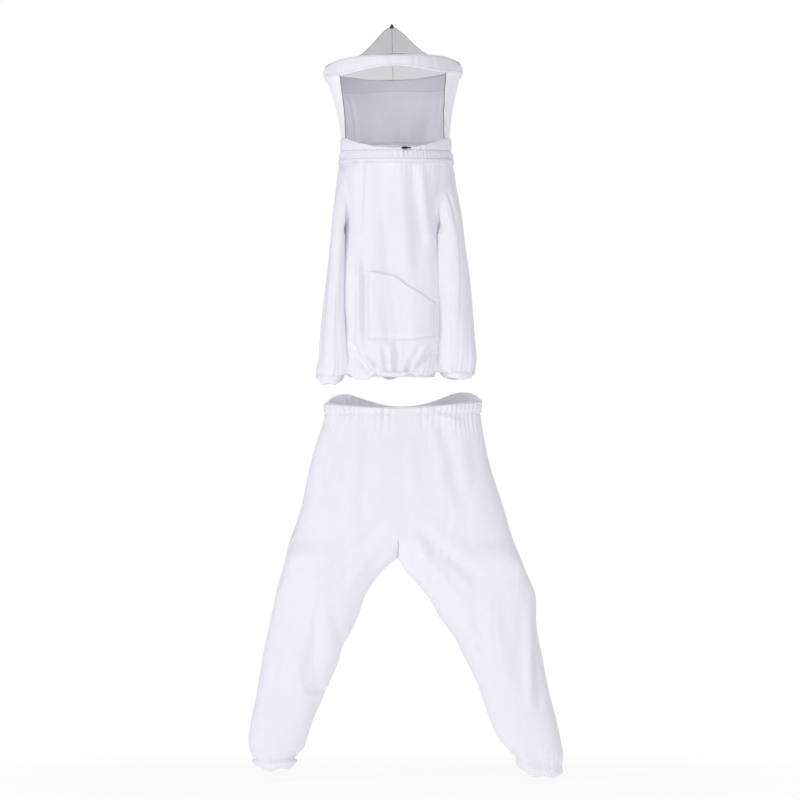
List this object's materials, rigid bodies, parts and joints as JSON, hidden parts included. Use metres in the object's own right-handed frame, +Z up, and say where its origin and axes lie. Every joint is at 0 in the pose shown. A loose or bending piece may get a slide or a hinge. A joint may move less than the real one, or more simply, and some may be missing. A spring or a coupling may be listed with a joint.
{
  "type": "beekeeping suit",
  "caption": "Two-piece white cotton beekeeping suit: pull-over smock with zipped round veil hood on a hoop, patch pocket, elastic cuffs and hem, and elastic-waist trousers.",
  "frame": {"origin": "middle of the neck line at the neck casing, where a hanger or the wearer's shoulders carry the suit", "axes": "+Z up, front towards -Y, +X to the right of somebody facing the front"},
  "size_m": [0.856, 0.3808, 2.0697],
  "materials": {
    "white_cotton": "matt plain-weave cotton blend",
    "dark_mesh": "open black veil mesh",
    "black_binding": "black bias binding",
    "zip_tape": "white woven zip tape and coil",
    "zip_metal": "black painted zip slider and puller",
    "hoop_wire": "spring steel wire",
    "elastic": "woven elastic"
  },
  "bodies": {
    "smock": {"collar_band": "white_cotton", "neck_casing": "white_cotton", "neck_elastic": "elastic", "zip_tape_lower": "zip_tape", "zip_coil_lower": "zip_tape", "front_panel": "white_cotton", "back_panel": "white_cotton", "pocket": "white_cotton", "hem_casing": "white_cotton", "hem_elastic": "elastic", "sleeve_head_left": "white_cotton", "sleeve_head_right": "white_cotton"},
    "hood": {"brim_casing": "white_cotton", "brim_hoop": "hoop_wire", "crown_gore_front_right": "dark_mesh", "crown_gore_back_right": "dark_mesh", "crown_gore_back_left": "dark_mesh", "crown_gore_front_left": "dark_mesh", "crown_peak_binding": "black_binding", "veil_mesh": "dark_mesh", "veil_edge_binding_left": "black_binding", "veil_edge_binding_right": "black_binding", "hood_side_panel_left": "white_cotton", "hood_side_panel_right": "white_cotton", "hood_back_panel": "white_cotton", "hood_neck_band": "white_cotton", "zip_tape_upper": "zip_tape", "zip_coil_upper": "zip_tape"},
    "zip_slider": {"zip_slider": "zip_metal"},
    "zip_pull": {"zip_pull": "zip_metal"},
    "left_sleeve": {"sleeve_left": "white_cotton", "cuff_casing_left": "white_cotton", "cuff_elastic_left": "elastic"},
    "right_sleeve": {"sleeve_right": "white_cotton", "cuff_casing_right": "white_cotton", "cuff_elastic_right": "elastic"},
    "trousers": {"waist_casing": "white_cotton", "waist_elastic": "elastic", "seat_front_left": "white_cotton", "seat_front_right": "white_cotton", "seat_back_left": "white_cotton", "seat_back_right": "white_cotton"},
    "left_leg": {"leg_front_left": "white_cotton", "leg_back_left": "white_cotton", "ankle_casing_left": "white_cotton", "ankle_elastic_left": "elastic"},
    "right_leg": {"leg_front_right": "white_cotton", "leg_back_right": "white_cotton", "ankle_casing_right": "white_cotton", "ankle_elastic_right": "elastic"}
  },
  "joints": [
    {"name": "hood_tip_back", "type": "hinge", "parent": "smock", "child": "hood", "pos_m": [0.008, 0.158, 0.03], "axis": [-1, 0, 0], "range_deg": [0, 95]},
    {"name": "neck_zip_slide", "type": "hinge", "parent": "smock", "child": "zip_slider", "pos_m": [0.008, 0, 0.034], "axis": [0, 0, 1], "range_deg": [0, 170]},
    {"name": "zip_pull_flip", "type": "hinge", "parent": "zip_slider", "child": "zip_pull", "pos_m": [0.02946, -0.1527, 0.034], "axis": [0, 0, -1], "range_deg": [0, 150]},
    {"name": "left_sleeve_lift", "type": "hinge", "parent": "smock", "child": "left_sleeve", "pos_m": [-0.171, 0, -0.2007], "axis": [0, 1, 0], "range_deg": [0, 70]},
    {"name": "right_sleeve_lift", "type": "hinge", "parent": "smock", "child": "right_sleeve", "pos_m": [0.199, 0, -0.2007], "axis": [0, -1, 0], "range_deg": [0, 70]},
    {"name": "trousers_take_off", "type": "slide", "parent": "smock", "child": "trousers", "axis": [0, -1, 0], "range_m": [0, 0.5]},
    {"name": "left_leg_close", "type": "hinge", "parent": "trousers", "child": "left_leg", "pos_m": [0.014, 0, -1.0856], "axis": [0, -1, 0], "range_deg": [0, 18]},
    {"name": "right_leg_close", "type": "hinge", "parent": "trousers", "child": "right_leg", "pos_m": [0.014, 0, -1.0856], "axis": [0, 1, 0], "range_deg": [0, 18]}
  ]
}
